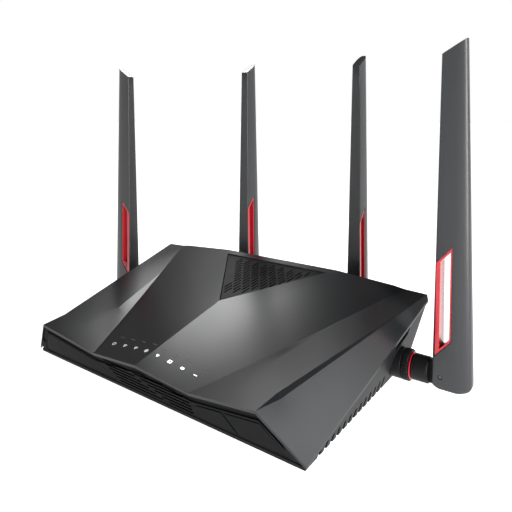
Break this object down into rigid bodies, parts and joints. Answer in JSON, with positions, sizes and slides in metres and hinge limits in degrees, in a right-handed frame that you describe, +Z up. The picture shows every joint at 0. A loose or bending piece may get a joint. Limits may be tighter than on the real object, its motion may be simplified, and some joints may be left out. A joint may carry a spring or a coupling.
{
  "type": "wireless router",
  "caption": "Desktop wireless router with a faceted wedge casing, a triangular roof vent and hinged blade antennas with windows.",
  "frame": {"origin": "centre of the whole object's footprint, on the surface it stands on", "axes": "+X the router's right side seen from behind the front fascia looking to the rear, +Y to the rear with the sockets, +Z up"},
  "size_m": [0.387, 0.2456, 0.269],
  "materials": {
    "cover_plastic": "satin dark grey",
    "black_plastic": "fine textured black",
    "blade_plastic": "satin dark grey with a fine grain",
    "red_accent": "glossy red",
    "bare_steel": "nickel plated",
    "cast_aluminium": "satin",
    "rubber": "matt black",
    "circuit_board": "solder mask green",
    "clear_plastic": "frosted light guide",
    "copper": "bare copper strip"
  },
  "bodies": {
    "body": {"top_cover": "cover_plastic", "base_tray": "cover_plastic", "front_fascia": "black_plastic", "rear_panel": "black_plastic", "vent_grille": "black_plastic", "main_board": "circuit_board", "heatsink": "cast_aluminium", "rf_shield": "bare_steel", "lan_jacks": "black_plastic", "wan_jack": "black_plastic", "usb_port_rear": "bare_steel", "usb_port_front": "bare_steel", "dc_jack": "black_plastic", "light_guide": "clear_plastic", "foot_front_left": "rubber", "foot_front_right": "rubber", "foot_rear_left": "rubber", "foot_rear_right": "rubber", "screw_front_left": "bare_steel", "screw_front_right": "bare_steel", "screw_rear_left": "bare_steel", "screw_rear_right": "bare_steel", "socket_left": "black_plastic", "collar_left": "black_plastic", "socket_right": "black_plastic", "collar_right": "black_plastic", "socket_rear_left": "black_plastic", "collar_rear_left": "black_plastic", "socket_rear_right": "black_plastic", "collar_rear_right": "black_plastic"},
    "flap": {"usb_flap": "black_plastic"},
    "wifi_button": {"wifi_button": "black_plastic"},
    "wps_button": {"wps_button": "black_plastic"},
    "power_button": {"power_button": "black_plastic"},
    "reset_button": {"reset_button": "red_accent"},
    "swivel_left": {"swivel_barrel_left": "black_plastic", "accent_ring_left": "red_accent", "hinge_pin_left": "bare_steel"},
    "antenna_left": {"blade_left": "blade_plastic", "window_inset_left": "red_accent", "radiator_left": "copper"},
    "swivel_right": {"swivel_barrel_right": "black_plastic", "accent_ring_right": "red_accent", "hinge_pin_right": "bare_steel"},
    "antenna_right": {"blade_right": "blade_plastic", "window_inset_right": "red_accent", "radiator_right": "copper"},
    "swivel_rear_left": {"swivel_barrel_rear_left": "black_plastic", "accent_ring_rear_left": "red_accent", "hinge_pin_rear_left": "bare_steel"},
    "antenna_rear_left": {"blade_rear_left": "blade_plastic", "window_inset_rear_left": "red_accent", "radiator_rear_left": "copper"},
    "swivel_rear_right": {"swivel_barrel_rear_right": "black_plastic", "accent_ring_rear_right": "red_accent", "hinge_pin_rear_right": "bare_steel"},
    "antenna_rear_right": {"blade_rear_right": "blade_plastic", "window_inset_rear_right": "red_accent", "radiator_rear_right": "copper"}
  },
  "joints": [
    {"name": "swivel_left", "type": "hinge", "parent": "body", "child": "swivel_left", "pos_m": [-0.144, 0.02523, 0.018], "axis": [1, 0, 0], "range_deg": [-20, 90]},
    {"name": "tilt_left", "type": "hinge", "parent": "swivel_left", "child": "antenna_left", "pos_m": [-0.17235, 0.02523, 0.018], "axis": [0, -1, 0], "range_deg": [0, 90]},
    {"name": "swivel_right", "type": "hinge", "parent": "body", "child": "swivel_right", "pos_m": [0.144, 0.02523, 0.018], "axis": [1, 0, 0], "range_deg": [-20, 90]},
    {"name": "tilt_right", "type": "hinge", "parent": "swivel_right", "child": "antenna_right", "pos_m": [0.17235, 0.02523, 0.018], "axis": [0, 1, 0], "range_deg": [0, 90]},
    {"name": "swivel_rear_left", "type": "hinge", "parent": "body", "child": "swivel_rear_left", "pos_m": [-0.067, 0.07322, 0.023], "axis": [0, -1, 0], "range_deg": [-12, 90]},
    {"name": "tilt_rear_left", "type": "hinge", "parent": "swivel_rear_left", "child": "antenna_rear_left", "pos_m": [-0.067, 0.10157, 0.023], "axis": [-1, 0, 0], "range_deg": [0, 90]},
    {"name": "swivel_rear_right", "type": "hinge", "parent": "body", "child": "swivel_rear_right", "pos_m": [0.067, 0.07322, 0.023], "axis": [0, 1, 0], "range_deg": [-12, 90]},
    {"name": "tilt_rear_right", "type": "hinge", "parent": "swivel_rear_right", "child": "antenna_rear_right", "pos_m": [0.067, 0.10157, 0.023], "axis": [-1, 0, 0], "range_deg": [0, 90]},
    {"name": "flap_hinge", "type": "hinge", "parent": "body", "child": "flap", "pos_m": [0, -0.10874, 0.00735], "axis": [1, 0, 0], "range_deg": [0, 60]},
    {"name": "wifi_button_press", "type": "slide", "parent": "body", "child": "wifi_button", "axis": [0, 1, 0], "range_m": [0, 0.001], "stiffness_N_per_m": 500},
    {"name": "wps_button_press", "type": "slide", "parent": "body", "child": "wps_button", "axis": [0, 1, 0], "range_m": [0, 0.001], "stiffness_N_per_m": 500},
    {"name": "power_button_press", "type": "slide", "parent": "body", "child": "power_button", "axis": [0, -1, 0], "range_m": [0, 0.0025], "stiffness_N_per_m": 400},
    {"name": "reset_button_press", "type": "slide", "parent": "body", "child": "reset_button", "axis": [0, -1, 0], "range_m": [0, 0.0008], "stiffness_N_per_m": 400}
  ]
}
